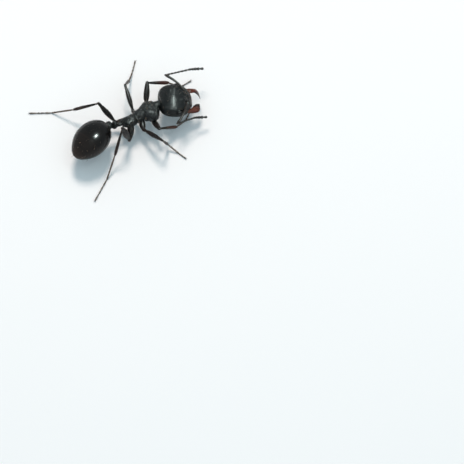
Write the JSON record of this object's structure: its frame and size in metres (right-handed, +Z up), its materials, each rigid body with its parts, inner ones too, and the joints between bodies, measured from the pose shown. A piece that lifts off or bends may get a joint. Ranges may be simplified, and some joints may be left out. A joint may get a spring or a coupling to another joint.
{
  "type": "harvester ant worker",
  "caption": "Black harvester ant worker standing with its legs spread: big squarish head with open toothed jaws, elbowed feelers, knobbed waist and a glossy egg-shaped gaster.",
  "frame": {"origin": "middle of the ant's box, on the floor under its feet", "axes": "+X along the trunk towards the head and feelers, +Y to the ant's left, +Z up"},
  "size_m": [0.0078, 0.0058, 0.0018],
  "materials": {
    "head_shell": "dull black shell with fine lengthwise grooves and a soft grey sheen",
    "trunk_shell": "matt black, wrinkled shell",
    "gaster_shell": "smooth glossy black shell, slightly brown at the tip",
    "leg_shell": "satin blackish-brown shell",
    "foot_shell": "satin brown shell",
    "mandible_shell": "satin red-brown shell with darker teeth",
    "eye_lens": "glossy black, faceted"
  },
  "bodies": {
    "root": {"gaster_1": "gaster_shell", "gaster_2": "gaster_shell", "gaster_3": "gaster_shell", "gaster_4": "gaster_shell", "gaster_5": "gaster_shell", "head": "head_shell", "left_club": "leg_shell", "left_eye": "eye_lens", "left_front_coxa": "leg_shell", "left_front_femur": "leg_shell", "left_front_metatarsus": "foot_shell", "left_front_tarsus": "foot_shell", "left_front_tibia": "leg_shell", "left_funiculus": "leg_shell", "left_hind_coxa": "leg_shell", "left_hind_femur": "leg_shell", "left_hind_metatarsus": "foot_shell", "left_hind_tarsus": "foot_shell", "left_hind_tibia": "leg_shell", "left_mandible": "mandible_shell", "left_middle_coxa": "leg_shell", "left_middle_femur": "leg_shell", "left_middle_metatarsus": "foot_shell", "left_middle_tarsus": "foot_shell", "left_middle_tibia": "leg_shell", "left_scape": "leg_shell", "mesothorax": "trunk_shell", "neck": "trunk_shell", "petiole": "trunk_shell", "postpetiole": "trunk_shell", "pronotum": "trunk_shell", "propodeum": "trunk_shell", "right_club": "leg_shell", "right_eye": "eye_lens", "right_front_coxa": "leg_shell", "right_front_femur": "leg_shell", "right_front_metatarsus": "foot_shell", "right_front_tarsus": "foot_shell", "right_front_tibia": "leg_shell", "right_funiculus": "leg_shell", "right_hind_coxa": "leg_shell", "right_hind_femur": "leg_shell", "right_hind_metatarsus": "foot_shell", "right_hind_tarsus": "foot_shell", "right_hind_tibia": "leg_shell", "right_mandible": "mandible_shell", "right_middle_coxa": "leg_shell", "right_middle_femur": "leg_shell", "right_middle_metatarsus": "foot_shell", "right_middle_tarsus": "foot_shell", "right_middle_tibia": "leg_shell", "right_scape": "leg_shell"}
  },
  "joints": []
}
